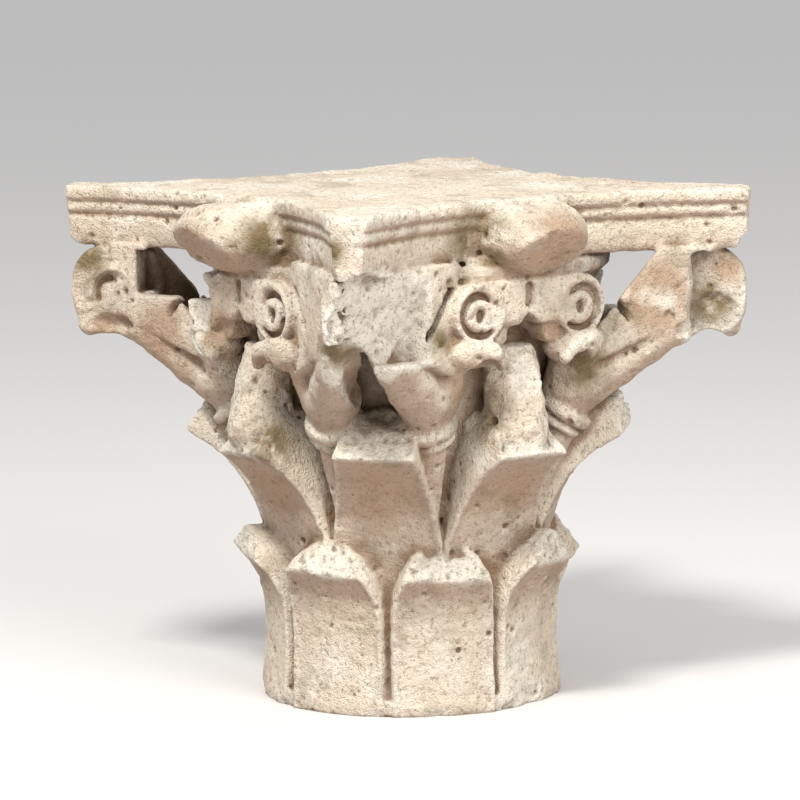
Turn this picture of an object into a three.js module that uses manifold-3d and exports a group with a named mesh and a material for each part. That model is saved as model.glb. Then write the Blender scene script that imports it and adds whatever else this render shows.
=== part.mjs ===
// Corinthian capital carved from one block of limestone, in millimetres, +Z up.
// Origin: centre of the underside. The abacus corners point along the diagonals.
import * as THREE from "three";
import { mergeVertices } from "three/addons/utils/BufferGeometryUtils.js";
import Module from "manifold-3d";

const wasm = await Module();
wasm.setup();

// Overall sizes
const capitalHeight = 452;
const leafCount = 8;
const cornerCount = 4;
const stoneColour = 0xd9cbb4;
const shortestEdge = 0.4;

// Bell: the plain core behind the leaves
const baseRadius = 131;
const baseBandHeight = 15;
const baseBandSlope = 4;
const bellNeckRadius = 112;
const bellWaistHeight = 215;
const bellShoulderRadius = 160;
const bellShoulderHeight = 354;
const bellLipRadius = 179;
const bellLipHeight = 13;
const bellLipRounding = 4;
const bellSides = 20;
const bellBuriedDepth = 20;

// Abacus: the moulded slab on top
const abacusThickness = 54;
const abacusCornerReach = 304;
const abacusCornerWidth = 36;
const abacusSideDistance = 166;
const abacusBandHeight = 13;
const abacusFilletHeight = 7;
const abacusGrooveHeight = 2;
const abacusGrooveDepth = 4;
const abacusFilletSetback = 3;
const abacusFasciaSetback = 9;
const abacusEdge = 0.5;
const abacusSideSteps = 6;

// Bosses: the worn flowers at the middle of the abacus sides
const bossHalfWidth = 50;
const bossHalfHeight = 32;
const bossReach = 222;
const bossCentreReach = 172;
const bossDrop = 35;

// Lower row of leaves
const lowerLeafFoot = 2;
const lowerLeafHalfWidth = 46;
const lowerLeafShoulder = 86;
const lowerLeafTop = 150;
const lowerTipReach = 150;
const lowerTipHeight = 125;
const lowerTipHalfWidth = 19;

// Upper row of leaves
const upperLeafFoot = 40;
const upperLeafFootReach = 118;
const upperLeafHalfWidth = 46;
const upperLeafShoulder = 158;
const upperLeafShoulderReach = 131;
const upperLeafTop = 259;
const upperTipReach = 193;
const upperTipHeight = 235;
const upperTipHalfWidth = 30;

// Both rows
const leafBuriedDepth = 12;
const leafRimRise = 4;
const leafAcross = 4;
const leafUp = 4;

// Stalks between the upper leaves, each with a double ring
const stalkSideways = 40;
const stalkFootReach = 113;
const stalkFootHeight = 160;
const stalkRingReach = 145;
const stalkRingHeight = 260;
const stalkRingRadius = 25;
const stalkFootRadius = 4;
const stalkThroatRadius = 18;
const stalkRingBand = 11;
const stalkRingStep = 3;
const stalkSides = 8;

// Volutes: the paired scrolls under the abacus corners
const voluteReach = 262;
const voluteHeight = 359;
const voluteRadius = 39;
const voluteHalfWidth = 24;
const voluteDiscHalfWidth = 19;
const voluteBandWidth = 12;
const voluteBreakSize = 118;

// Broad flat stems of the volutes
const stemFootReach = 160;
const stemFootSideways = 64;
const stemFootHeight = 306;
const stemFootHalfDepth = 10;
const stemHeadReach = 253;
const stemHeadSideways = 19;
const stemHeadHeight = 367;
const stemHeadHalfDepth = 33;
const stemHalfThickness = 9;

// Web between the two stems of a corner: its upper edge bounds the gap below the abacus
const webFootHeight = 276;
const webGapReach = 188;
const webGapHeight = 360;
const webHeadReach = 216;
const webHeadHeight = 379;

// Helices: the small scrolls at the middle of each face
const helixOffset = 54;
const helixHeight = 356;
const helixRadius = 26;
const helixReach = 183;
const helixDiscReach = 177;
const helixBackReach = 122;
const helixBandWidth = 8;
const helixBridgeReach = 181;
const helixBridgeHeight = 22;
const helixGrooveWidth = 10;
const helixGrooveDepth = 6;

// Facets in one turn of a scroll
const spiralSteps = 6;

// Calyx leaves: the curled leaves that carry the scrolls
const calyxThickness = 14;
const calyxSag = 6;
const calyxFootHalfWidth = 16;
const calyxFaceHalfWidth = 24;
const calyxFaceReach = 188;
const calyxFaceHeight = 328;
const calyxFaceSideways = 46;
const calyxCornerReach = 284;
const calyxCornerHeight = 329;
const calyxCornerSideways = 12;
const calyxCornerFootHalf = 20;
const calyxCornerTipHalf = 12;

// Spines: the rough stem behind the middle of each face
const spineHalfWidth = 22;
const spineFootHeight = 228;
const spineReach = 172;
const spineReachHeight = 246;
const spineTopReach = 160;
const spineTopHeight = 322;

// Worked out from the sizes above
const abacusUnderside = capitalHeight - abacusThickness;
const buriedRadius = bellNeckRadius - bellBuriedDepth;
const bellLipTop = abacusUnderside - bellLipRounding;
const bellLipUnder = bellLipTop - bellLipHeight;
const eighth = (2 * Math.PI) / leafCount;
const quarter = (2 * Math.PI) / cornerCount;
const stalkFaceReach = (stalkRingReach + stalkSideways) / Math.SQRT2;
const stalkFaceSideways = (stalkRingReach - stalkSideways) / Math.SQRT2;

// A closed geometry with shared vertices, as a solid that can be joined and cut
function solid(geometry) {
  const bare = geometry.index ? geometry.toNonIndexed() : geometry.clone();
  bare.deleteAttribute("normal");
  bare.deleteAttribute("uv");
  const merged = mergeVertices(bare, 1e-3);
  const position = merged.getAttribute("position");
  const triangles = [];
  const index = merged.getIndex();
  for (let i = 0; i < index.count; i += 3) {
    const [a, b, c] = [index.getX(i), index.getX(i + 1), index.getX(i + 2)];
    if (a !== b && b !== c && c !== a) triangles.push(a, b, c);
  }
  const mesh = new wasm.Mesh({
    numProp: 3,
    vertProperties: new Float32Array(position.array),
    triVerts: new Uint32Array(triangles),
    tolerance: shortestEdge,
  });
  return new wasm.Manifold(mesh);
}

function joined(solids) {
  return solids.reduce((whole, next) => whole.add(next));
}

// A point at a radial distance, a sideways distance and a height, turned about the axis
function place(radial, sideways, height, turn) {
  const x = radial * Math.cos(turn) - sideways * Math.sin(turn);
  const y = radial * Math.sin(turn) + sideways * Math.cos(turn);
  return new THREE.Vector3(x, y, height);
}

function turned(geometry, turn) {
  return geometry.clone().rotateZ(turn);
}

// A block whose points are moved by a rule: across -1..1, up 0..1, out 0..1
function shapedBlock(acrossSteps, upSteps, outSteps, rule) {
  const block = new THREE.BoxGeometry(2, 1, 1, acrossSteps, upSteps, outSteps);
  const position = block.getAttribute("position");
  for (let i = 0; i < position.count; i += 1) {
    const across = position.getX(i);
    const up = position.getY(i) + 0.5;
    const out = position.getZ(i) + 0.5;
    const moved = rule(across, up, out);
    position.setXYZ(i, moved.x, moved.y, moved.z);
  }
  return block;
}

function profile(points) {
  const places = points.map(([r, z]) => new THREE.Vector3(r, 0, z));
  return new THREE.CatmullRomCurve3(places, false, "centripetal");
}

function mix(from, to, share) {
  return from + (to - from) * share;
}

// A leaf that hugs the bell, with an arched top and a broken tip.
// The front and back profiles share the same steps, so the break is the sloping face between their ends.
function leafGeometry(leaf) {
  const front = profile(leaf.front);
  const back = profile(leaf.back);
  const shoulder = (leaf.shoulder - leaf.foot) / (leaf.top - leaf.foot);
  const roundness = Math.sqrt(1 - (leaf.tipHalfWidth / leaf.halfWidth) ** 2);
  return shapedBlock(leafAcross, leafUp, 1, (across, up, out) => {
    const rise = Math.max(0, (up - shoulder) / (1 - shoulder)) * roundness;
    const halfWidth = leaf.halfWidth * Math.sqrt(1 - rise * rise);
    const outer = front.getPoint(up);
    const inner = back.getPoint(up);
    const radial = mix(inner.x, outer.x, out) + leafRimRise * out * (across * across - 0.4);
    const height = mix(inner.z, outer.z, out);
    const angle = (across * halfWidth) / mix(bellNeckRadius, outer.x, 0.7);
    return place(radial, 0, height, angle);
  });
}

function lowerLeaf(tipLoss) {
  const middle = mix(lowerLeafFoot, lowerLeafShoulder, 0.6);
  const backRadius = bellNeckRadius - leafBuriedDepth;
  return leafGeometry({
    foot: lowerLeafFoot,
    top: lowerLeafTop,
    shoulder: lowerLeafShoulder,
    halfWidth: lowerLeafHalfWidth,
    tipHalfWidth: lowerTipHalfWidth,
    front: [
      [baseRadius, lowerLeafFoot],
      [baseRadius, middle],
      [baseRadius, lowerLeafShoulder],
      [mix(baseRadius, lowerTipReach, 0.4), mix(lowerLeafShoulder, lowerTipHeight, 0.62)],
      [lowerTipReach - tipLoss, lowerTipHeight - tipLoss * 0.5],
    ],
    back: [
      [backRadius, lowerLeafFoot],
      [backRadius, middle],
      [backRadius, lowerLeafShoulder],
      [backRadius, mix(lowerLeafShoulder, lowerLeafTop, 0.7)],
      [mix(backRadius, lowerTipReach, 0.6), lowerLeafTop - tipLoss * 0.4],
    ],
  });
}

function upperLeaf(tipLoss) {
  const middle = mix(upperLeafFoot, upperLeafShoulder, 0.7);
  const backRadius = bellNeckRadius - leafBuriedDepth;
  return leafGeometry({
    foot: upperLeafFoot,
    top: upperLeafTop,
    shoulder: upperLeafShoulder,
    halfWidth: upperLeafHalfWidth,
    tipHalfWidth: upperTipHalfWidth,
    front: [
      [upperLeafFootReach, upperLeafFoot],
      [mix(upperLeafFootReach, upperLeafShoulderReach, 0.35), middle],
      [upperLeafShoulderReach, upperLeafShoulder],
      [mix(upperLeafShoulderReach, upperTipReach, 0.4), mix(upperLeafShoulder, upperTipHeight, 0.6)],
      [upperTipReach - tipLoss, upperTipHeight - tipLoss * 0.6],
    ],
    back: [
      [backRadius, upperLeafFoot],
      [backRadius, middle],
      [backRadius, upperLeafShoulder],
      [backRadius, mix(upperLeafShoulder, upperTipHeight, 0.8)],
      [mix(backRadius, upperTipReach, 0.58), upperLeafTop - tipLoss * 0.3],
    ],
  });
}

// Bell with its lip ring, and the plain band at the foot
function bellGeometry() {
  const flareRadius = mix(bellNeckRadius, bellShoulderRadius, 0.15);
  const flareHeight = mix(bellWaistHeight, bellShoulderHeight, 0.62);
  const lipInner = bellLipRadius - bellLipRounding;
  const top = abacusUnderside + bellLipRounding;
  const outline = new THREE.Path();
  outline.moveTo(0, 0);
  outline.lineTo(baseRadius, 0);
  outline.lineTo(baseRadius, baseBandHeight - baseBandSlope);
  outline.lineTo(bellNeckRadius, baseBandHeight);
  outline.lineTo(bellNeckRadius, bellWaistHeight);
  outline.quadraticCurveTo(flareRadius, flareHeight, bellShoulderRadius, bellShoulderHeight);
  outline.lineTo(lipInner, bellLipUnder);
  outline.lineTo(bellLipRadius, bellLipUnder + bellLipRounding);
  outline.lineTo(bellLipRadius, bellLipTop - bellLipRounding);
  outline.lineTo(lipInner, bellLipTop);
  outline.lineTo(lipInner, top);
  outline.lineTo(0, top);
  const points = outline.getPoints(2);
  return new THREE.LatheGeometry(points, bellSides).rotateX(Math.PI / 2);
}

// Outline of the abacus, set back by an amount: four hollow sides and four cut corners
function abacusOutline(setback) {
  const halfCorner = abacusCornerWidth / 2 - setback * 0.4;
  const reach = abacusCornerReach - setback;
  const side = abacusSideDistance - setback;
  const points = [];
  for (let k = 0; k < cornerCount; k += 1) {
    const start = place(reach, halfCorner, 0, -quarter / 2);
    const rise = start.x - side;
    const radius = (start.y * start.y + rise * rise) / (2 * rise);
    const sweep = Math.asin(start.y / -radius);
    for (let i = 0; i <= abacusSideSteps; i += 1) {
      const angle = mix(-sweep, sweep, i / abacusSideSteps);
      const x = side + radius - radius * Math.cos(angle);
      points.push(place(x, radius * Math.sin(angle), 0, k * quarter));
    }
  }
  return points.map((p) => new THREE.Vector2(p.x, p.y));
}

// Abacus from the underside up: fascia, groove, fillet, groove, flat band
function abacusSolid() {
  const filletTop = capitalHeight - abacusBandHeight - abacusGrooveHeight;
  const filletUnder = filletTop - abacusFilletHeight;
  const fasciaTop = filletUnder - abacusGrooveHeight;
  const fasciaMiddle = mix(abacusUnderside, fasciaTop, 0.45);
  const grooveSetback = abacusFilletSetback + abacusGrooveDepth;
  const levels = [
    [abacusUnderside, abacusFasciaSetback],
    [fasciaMiddle, abacusFasciaSetback * 0.7],
    [fasciaTop, abacusFasciaSetback * 0.6],
    [fasciaTop + abacusEdge, grooveSetback],
    [filletUnder, grooveSetback],
    [filletUnder + abacusEdge, abacusFilletSetback],
    [filletTop, abacusFilletSetback],
    [filletTop + abacusEdge, grooveSetback],
    [capitalHeight - abacusBandHeight, grooveSetback],
    [capitalHeight - abacusBandHeight + abacusEdge, 0],
    [capitalHeight, 0],
  ];
  const outlines = levels.map(([, setback]) => abacusOutline(setback));
  const around = outlines[0].length;
  const block = new THREE.CylinderGeometry(1, 1, 1, around, levels.length - 1).rotateX(Math.PI / 2);
  const position = block.getAttribute("position");
  for (let i = 0; i < position.count; i += 1) {
    const level = Math.round((position.getZ(i) + 0.5) * (levels.length - 1));
    const atAxis = Math.hypot(position.getX(i), position.getY(i)) < 0.5;
    const angle = Math.atan2(position.getY(i), position.getX(i));
    const step = (Math.round((angle / (2 * Math.PI)) * around) + around) % around;
    const point = atAxis ? new THREE.Vector2(0, 0) : outlines[level][step];
    position.setXYZ(i, point.x, point.y, levels[level][0]);
  }
  return solid(block);
}

function bossGeometry() {
  const boss = new THREE.SphereGeometry(1, 8, 6);
  boss.rotateX(Math.PI / 2);
  boss.scale(bossReach - bossCentreReach, bossHalfWidth, bossHalfHeight);
  boss.translate(bossCentreReach, 0, capitalHeight - bossDrop);
  return boss;
}

// A tapering stem along a curve, from one half-width and half-depth to another
function stemGeometry(path, startSize, endSize, steps) {
  const curve = new THREE.CatmullRomCurve3(path, false, "centripetal");
  const upward = new THREE.Vector3(0, 0, 1);
  return shapedBlock(1, steps, 1, (across, up, out) => {
    const centre = curve.getPoint(up);
    const along = curve.getTangent(up);
    const sideways = new THREE.Vector3().crossVectors(along, upward).normalize();
    const normal = new THREE.Vector3().crossVectors(sideways, along).normalize();
    const depth = 2 * out - 1;
    const round = 1 - 0.22 * Math.abs(across * depth);
    const width = mix(startSize[0], endSize[0], up) * across * round;
    const height = mix(startSize[1], endSize[1], up) * depth * round;
    return centre.addScaledVector(sideways, width).addScaledVector(normal, height);
  });
}

// Stalk: a cone that stands on its point, bound at the top by a double ring
function stalkGeometry(turn, side) {
  const foot = place(stalkFootReach, side * stalkSideways, stalkFootHeight, turn);
  const ring = place(stalkRingReach, side * stalkSideways, stalkRingHeight, turn);
  const lean = new THREE.Vector3().subVectors(ring, foot);
  const top = lean.length() + stalkRingBand;
  const under = top - 2 * stalkRingBand;
  const outline = [
    [0, 0],
    [stalkFootRadius, 0],
    [stalkThroatRadius, under],
    [stalkRingRadius - stalkRingStep, under],
    [stalkRingRadius - stalkRingStep, mix(under, top, 0.4)],
    [stalkRingRadius, mix(under, top, 0.5)],
    [stalkRingRadius, top],
    [0, top],
  ];
  const stalk = new THREE.LatheGeometry(outline.map(([r, h]) => new THREE.Vector2(r, h)), stalkSides);
  const upright = new THREE.Quaternion().setFromUnitVectors(new THREE.Vector3(0, 1, 0), lean.normalize());
  return stalk.applyQuaternion(upright).translate(foot.x, foot.y, foot.z);
}

// A spiral band in its own plane, from the outer radius in to the eye
function spiralShape(outerRadius, bandWidth, turns, startAngle) {
  const steps = Math.round(turns * spiralSteps);
  const shrink = (share) => 1 - 0.62 * share;
  const outer = [];
  const inner = [];
  for (let i = 0; i <= steps; i += 1) {
    const share = i / steps;
    const angle = startAngle - share * turns * 2 * Math.PI;
    const radius = outerRadius * shrink(share);
    const width = bandWidth * mix(1, 0.55, share);
    outer.push(new THREE.Vector2(radius * Math.cos(angle), radius * Math.sin(angle)));
    inner.unshift(new THREE.Vector2((radius - width) * Math.cos(angle), (radius - width) * Math.sin(angle)));
  }
  return new THREE.Shape([...outer, ...inner]);
}

// A shape drawn as radial distance and height, given a thickness sideways and turned into place
function uprightPlate(shape, centreRadial, centreHeight, halfThickness, turn, curveSegments = 1) {
  const plate = new THREE.ExtrudeGeometry(shape, { depth: 2 * halfThickness, bevelEnabled: false, curveSegments });
  plate.translate(0, 0, -halfThickness).rotateX(Math.PI / 2);
  plate.translate(centreRadial, 0, centreHeight);
  return turned(plate, turn);
}

// Corner: two stalks, the leaves and broad stems that rise from them, and one pair of scrolls
function corner(turn, scrollShare) {
  const solids = [];
  const band = spiralShape(voluteRadius, voluteBandWidth, 1.1, Math.PI * 0.6);
  solids.push(solid(uprightPlate(band, voluteReach, voluteHeight, voluteHalfWidth, turn)));
  const web = new THREE.Shape();
  web.moveTo(buriedRadius, webFootHeight);
  web.lineTo(stalkRingReach, webFootHeight);
  web.lineTo(mix(stalkRingReach, calyxCornerReach, 0.5), calyxCornerHeight - calyxCornerFootHalf);
  web.absarc(voluteReach, voluteHeight, voluteRadius * 0.95, Math.PI * 1.3, Math.PI * 2.55);
  web.lineTo(webHeadReach, webHeadHeight);
  web.lineTo(webGapReach, webGapHeight);
  web.lineTo(buriedRadius, webGapHeight);
  solids.push(solid(uprightPlate(web, 0, 0, voluteDiscHalfWidth, turn, 5)));
  for (const side of [-1, 1]) {
    solids.push(solid(stemGeometry(
      [
        place(stemFootReach, side * stemFootSideways, stemFootHeight, turn),
        place(stemHeadReach, side * stemHeadSideways, stemHeadHeight, turn),
      ],
      [stemHalfThickness, stemFootHalfDepth],
      [stemHalfThickness, stemHeadHalfDepth],
      2,
    )));
    const lowReach = mix(stalkRingReach, calyxCornerReach, 0.18);
    const midReach = mix(stalkRingReach, calyxCornerReach, 0.5);
    solids.push(solid(stemGeometry(
      [
        place(stalkRingReach, side * stalkSideways, stalkRingHeight, turn),
        place(lowReach, side * stalkSideways, stalkRingHeight + calyxCornerFootHalf, turn),
        place(midReach, side * stalkSideways * 0.6, calyxCornerHeight - calyxCornerTipHalf, turn),
        place(calyxCornerReach, side * calyxCornerSideways, calyxCornerHeight, turn),
      ],
      [calyxCornerFootHalf, calyxCornerFootHalf],
      [calyxCornerTipHalf, calyxCornerTipHalf],
      4,
    )));
    solids.push(solid(stalkGeometry(turn, side)));
  }
  let scrolls = joined(solids);
  if (scrollShare < 1) {
    const cutter = new THREE.BoxGeometry(voluteBreakSize, 4 * voluteHalfWidth, voluteBreakSize * 1.4);
    cutter.rotateY(0.35);
    const reach = voluteReach + voluteRadius * (2 * scrollShare - 1) + voluteBreakSize / 2;
    cutter.translate(reach, voluteHalfWidth * 0.4, voluteHeight - voluteRadius / 2);
    scrolls = scrolls.subtract(solid(turned(cutter, turn)));
  }
  return scrolls;
}

// A leaf that spreads from a stalk and curls over at its lip
function calyxLeaf(path, halfWidths) {
  const curve = new THREE.CatmullRomCurve3(path, false, "centripetal");
  const upward = new THREE.Vector3(0, 0, 1);
  return shapedBlock(2, 3, 1, (across, up, out) => {
    const centre = curve.getPoint(up);
    const along = curve.getTangent(up);
    const sideways = new THREE.Vector3().crossVectors(along, upward).normalize();
    const normal = new THREE.Vector3().crossVectors(sideways, along).normalize();
    const lowSpread = mix(halfWidths[0], halfWidths[1], up * 2);
    const highSpread = mix(halfWidths[1], halfWidths[2], up * 2 - 1);
    const spread = up < 0.5 ? lowSpread : highSpread;
    const sag = calyxSag * (1 - across * across);
    return centre
      .addScaledVector(sideways, across * spread)
      .addScaledVector(normal, (out - 0.5) * calyxThickness - sag);
  });
}

// Face: two small scrolls joined by a bridge, and the leaf curls that carry them
function face(turn) {
  const solids = [];
  for (const side of [-1, 1]) {
    const spiral = spiralShape(helixRadius, helixBandWidth, 1.1, Math.PI * 0.5);
    const depth = helixReach - helixBackReach;
    const band = new THREE.ExtrudeGeometry(spiral, { depth, bevelEnabled: false });
    band.rotateX(Math.PI / 2).rotateZ(Math.PI / 2).translate(helixBackReach, 0, 0);
    const flipped = side > 0 ? band : mirrored(band);
    flipped.translate(0, side * helixOffset, helixHeight);
    solids.push(solid(turned(flipped, turn)));
    const midSideways = mix(stalkFaceSideways, calyxFaceSideways, 0.5);
    const midHeight = mix(stalkRingHeight, calyxFaceHeight, 0.5);
    solids.push(solid(calyxLeaf(
      [
        place(stalkFaceReach, side * stalkFaceSideways, stalkRingHeight, turn),
        place(mix(stalkFaceReach, calyxFaceReach, 0.2), side * stalkFaceSideways, midHeight, turn),
        place(mix(stalkFaceReach, calyxFaceReach, 0.6), side * midSideways, calyxFaceHeight, turn),
        place(calyxFaceReach, side * calyxFaceSideways, calyxFaceHeight, turn),
      ],
      [calyxFootHalfWidth, calyxFaceHalfWidth, calyxFaceHalfWidth],
    )));
  }
  const backingWidth = 2 * helixOffset + helixRadius;
  const backing = new THREE.BoxGeometry(helixDiscReach - helixBackReach, backingWidth, helixRadius);
  backing.translate((helixDiscReach + helixBackReach) / 2, 0, helixHeight);
  solids.push(solid(turned(backing, turn)));
  const bridgeHeight = helixHeight + helixRadius - helixBridgeHeight / 2;
  const bridge = new THREE.BoxGeometry(helixBridgeReach - helixBackReach, 2 * helixOffset, helixBridgeHeight);
  bridge.translate((helixBridgeReach + helixBackReach) / 2, 0, bridgeHeight);
  const groove = new THREE.BoxGeometry(2 * helixGrooveDepth, helixGrooveWidth, helixBridgeHeight * 0.8);
  groove.translate(helixBridgeReach, 0, bridgeHeight);
  solids.push(solid(turned(bridge, turn)).subtract(solid(turned(groove, turn))));
  const spine = new THREE.Shape([
    new THREE.Vector2(buriedRadius, spineFootHeight),
    new THREE.Vector2(spineReach, spineReachHeight),
    new THREE.Vector2(spineTopReach, spineTopHeight),
    new THREE.Vector2(buriedRadius, spineTopHeight),
  ]);
  solids.push(solid(uprightPlate(spine, 0, 0, spineHalfWidth, turn)));
  return joined(solids);
}

// The same geometry on the other side of the radial plane, with its faces still pointing out
function mirrored(geometry) {
  const copy = geometry.index ? geometry.toNonIndexed() : geometry.clone();
  copy.scale(1, -1, 1);
  const position = copy.getAttribute("position");
  for (let i = 0; i < position.count; i += 3) {
    const [x, y, z] = [position.getX(i), position.getY(i), position.getZ(i)];
    position.setXYZ(i, position.getX(i + 1), position.getY(i + 1), position.getZ(i + 1));
    position.setXYZ(i + 1, x, y, z);
  }
  return copy;
}

// Leaves round the bell: the lower row between the face and corner directions, the upper row on them
function leafRows() {
  const solids = [];
  for (let k = 0; k < leafCount; k += 1) {
    const lowerLoss = 3 + 3 * Math.sin(2.3 * k + 0.4);
    const upperLoss = 4 + 4 * Math.sin(1.7 * k + 1.1);
    solids.push(solid(turned(lowerLeaf(lowerLoss), (k + 0.5) * eighth)));
    solids.push(solid(turned(upperLeaf(upperLoss), k * eighth)));
  }
  return solids;
}

function carvedBlock() {
  const solids = [solid(bellGeometry()), abacusSolid(), ...leafRows()];
  // Share of each corner's scroll that is still there, from the corner at 45 degrees on
  const scrollShares = [0.86, 1, 1, 0.5];
  for (let k = 0; k < cornerCount; k += 1) {
    solids.push(corner((k + 0.5) * quarter, scrollShares[k]));
    solids.push(face(k * quarter));
    solids.push(solid(turned(bossGeometry(), k * quarter)));
  }
  return joined(solids);
}

function meshOf(manifold, name, colour) {
  const cut = manifold.getMesh();
  const geometry = new THREE.BufferGeometry();
  geometry.setAttribute("position", new THREE.BufferAttribute(new Float32Array(cut.vertProperties), 3));
  geometry.setIndex(Array.from(cut.triVerts));
  geometry.computeVertexNormals();
  const material = new THREE.MeshStandardMaterial({ color: colour, roughness: 0.93, metalness: 0 });
  const mesh = new THREE.Mesh(geometry, material);
  mesh.name = name;
  return mesh;
}

const group = new THREE.Group();
group.add(meshOf(carvedBlock(), "capital", stoneColour));

export default group;
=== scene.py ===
# %% [markdown]
# A carved stone capital, rebuilt the way a mason works: one block, cut back in stages.
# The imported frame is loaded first. It fixes the size and the place of the one solid,
# and everything below has to stay inside its box.

# %% Load the frame
import bpy
import math
import numpy as np
import openvdb
from mathutils import Matrix, Vector


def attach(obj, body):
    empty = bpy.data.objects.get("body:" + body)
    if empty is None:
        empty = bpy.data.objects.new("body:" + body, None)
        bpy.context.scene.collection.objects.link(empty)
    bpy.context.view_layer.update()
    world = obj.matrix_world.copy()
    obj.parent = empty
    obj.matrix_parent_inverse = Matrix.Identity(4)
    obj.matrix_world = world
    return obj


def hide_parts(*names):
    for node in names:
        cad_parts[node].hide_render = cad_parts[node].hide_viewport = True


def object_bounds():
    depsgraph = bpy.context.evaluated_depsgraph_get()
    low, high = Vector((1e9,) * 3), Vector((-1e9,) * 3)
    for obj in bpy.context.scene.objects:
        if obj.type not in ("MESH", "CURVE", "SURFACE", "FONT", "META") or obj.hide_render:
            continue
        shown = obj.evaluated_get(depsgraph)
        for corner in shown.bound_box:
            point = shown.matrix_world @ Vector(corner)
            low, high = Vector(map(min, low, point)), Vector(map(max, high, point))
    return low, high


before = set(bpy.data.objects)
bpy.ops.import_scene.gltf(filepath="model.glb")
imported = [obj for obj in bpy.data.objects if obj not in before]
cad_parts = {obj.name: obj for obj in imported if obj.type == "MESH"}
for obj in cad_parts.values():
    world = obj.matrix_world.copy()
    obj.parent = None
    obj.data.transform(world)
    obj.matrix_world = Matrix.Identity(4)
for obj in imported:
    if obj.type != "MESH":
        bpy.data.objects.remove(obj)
cad_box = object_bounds()
print("frame box", cad_box)

# %% [markdown]
# The camera stands about four metres away, a little above the stone, and looks at it
# almost on a corner. A long lens keeps the perspective as mild as in a catalogue picture.

# %% Camera
CAMERA_TURN = math.radians(-35.8)
CAMERA_DISTANCE = 4.05
CAMERA_HEIGHT = 0.8155
AIM_HEIGHT = 0.2601
AIM_SIDEWAYS = -0.0071
CAMERA_ROLL = math.radians(-0.67)
FOCAL_PIXELS = 4607
IMAGE_PIXELS = 800
SENSOR_MM = 36

toward = Vector((math.cos(CAMERA_TURN), math.sin(CAMERA_TURN), 0))
rightward = Vector((-math.sin(CAMERA_TURN), math.cos(CAMERA_TURN), 0))
camera_data = bpy.data.cameras.new("camera")
camera_data.sensor_width = SENSOR_MM
camera_data.lens = FOCAL_PIXELS / IMAGE_PIXELS * SENSOR_MM
camera = bpy.data.objects.new("camera", camera_data)
bpy.context.collection.objects.link(camera)
camera.location = toward * CAMERA_DISTANCE + Vector((0, 0, CAMERA_HEIGHT))
aim = rightward * AIM_SIDEWAYS + Vector((0, 0, AIM_HEIGHT))
look = (aim - camera.location).to_track_quat("-Z", "Y")
camera.rotation_euler = (look.to_matrix() @ Matrix.Rotation(CAMERA_ROLL, 3, "Z")).to_euler()
bpy.context.scene.camera = camera
print("camera lens", round(camera_data.lens, 1), "mm")

# %% [markdown]
# The block is carved in a fine grid of distances: every cell knows how far it is from the
# surface, positive in the air and negative in the stone. Joining two forms is then a
# minimum, cutting is a maximum, and a soft minimum leaves the small fillet that a chisel
# leaves between two forms. That is closer to carving than joining meshes, where every
# crossing has to be cleaned by hand.

# %% The grid of distances
# Lengths of the carving are millimetres. Beyond FAR a cell only says that it is far away.
MM = 0.001
CELL = 1.6
REACH = 233.0
TOP = 452.0
AIR = 6.0
FAR = 14.0
LOW_CORNER = np.array([-REACH, -REACH, -AIR])
HIGH_CORNER = np.array([REACH, REACH, TOP + AIR])
CELLS = np.ceil((HIGH_CORNER - LOW_CORNER) / CELL).astype(int) + 1
ax_x, ax_y, ax_z = [
    (LOW_CORNER[i] + CELL * np.arange(CELLS[i], dtype=np.float32)).astype(np.float32)
    for i in range(3)
]
stone = np.full(CELLS, FAR, np.float32)
broken = np.zeros(CELLS, np.float16)
print("cells", CELLS, "of", CELL, "mm")


def soft_min(a, b, fillet):
    """The smaller of two distances, with a small fillet where they meet."""
    overlap = np.maximum(fillet - np.abs(a - b), 0) / fillet
    return np.minimum(a, b) - overlap * overlap * fillet * 0.25


def soft_max(a, b, fillet):
    return -soft_min(-a, -b, fillet)


def grain_noise(size, seed):
    """Smooth random values over the whole grid, between -1 and 1, with lumps of a given size."""
    counts = [int(math.ceil(n * CELL / size)) + 3 for n in CELLS]
    values = np.random.default_rng(seed).uniform(-1, 1, counts).astype(np.float32)
    for axis in range(3):
        place = np.arange(CELLS[axis]) * CELL / size
        step = place.astype(int)
        share = (place - step).astype(np.float32)
        share = share * share * (3 - 2 * share)
        shape = [1, 1, 1]
        shape[axis] = -1
        low = np.take(values, step, axis)
        high = np.take(values, step + 1, axis)
        values = low + (high - low) * share.reshape(shape)
    return values


# Ripples of four sizes, and from them the roughness of a broken face
lumps = grain_noise(26, 11)
chips = grain_noise(11, 23)
crumbs = grain_noise(5.2, 37)
grit = grain_noise(3.4, 51)
rough = 0.4 * lumps + 0.45 * chips + 0.4 * crumbs + 0.35 * grit

# %% [markdown]
# A window is the small part of the grid that one form touches. Its coordinates are those
# of a mason who stands in front of that form: out from the axis, sideways, and up.


# %% Windows on the grid
MARGIN = 0.6 * FAR
ROD_FILLET = 4.0


def window(turn, out, side, up):
    """Slices of the grid round a form, and its out, sideways and up coordinates."""
    cos, sin = math.cos(turn), math.sin(turn)
    corners = [(o * cos - s * sin, o * sin + s * cos) for o in out for s in side]
    ranges = ([c[0] for c in corners], [c[1] for c in corners], up)
    spans = []
    for values, axis in zip(ranges, (ax_x, ax_y, ax_z)):
        first = int(np.searchsorted(axis, min(values) - MARGIN))
        last = int(np.searchsorted(axis, max(values) + MARGIN))
        spans.append(slice(max(first, 0), min(last, len(axis))))
    x = ax_x[spans[0]][:, None, None]
    y = ax_y[spans[1]][None, :, None]
    z = ax_z[spans[2]][None, None, :]
    return tuple(spans), x * cos + y * sin, y * cos - x * sin, z


def add(cut, form, fillet=3.0):
    stone[cut] = soft_min(stone[cut], np.clip(form, -FAR, FAR), fillet)


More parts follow.
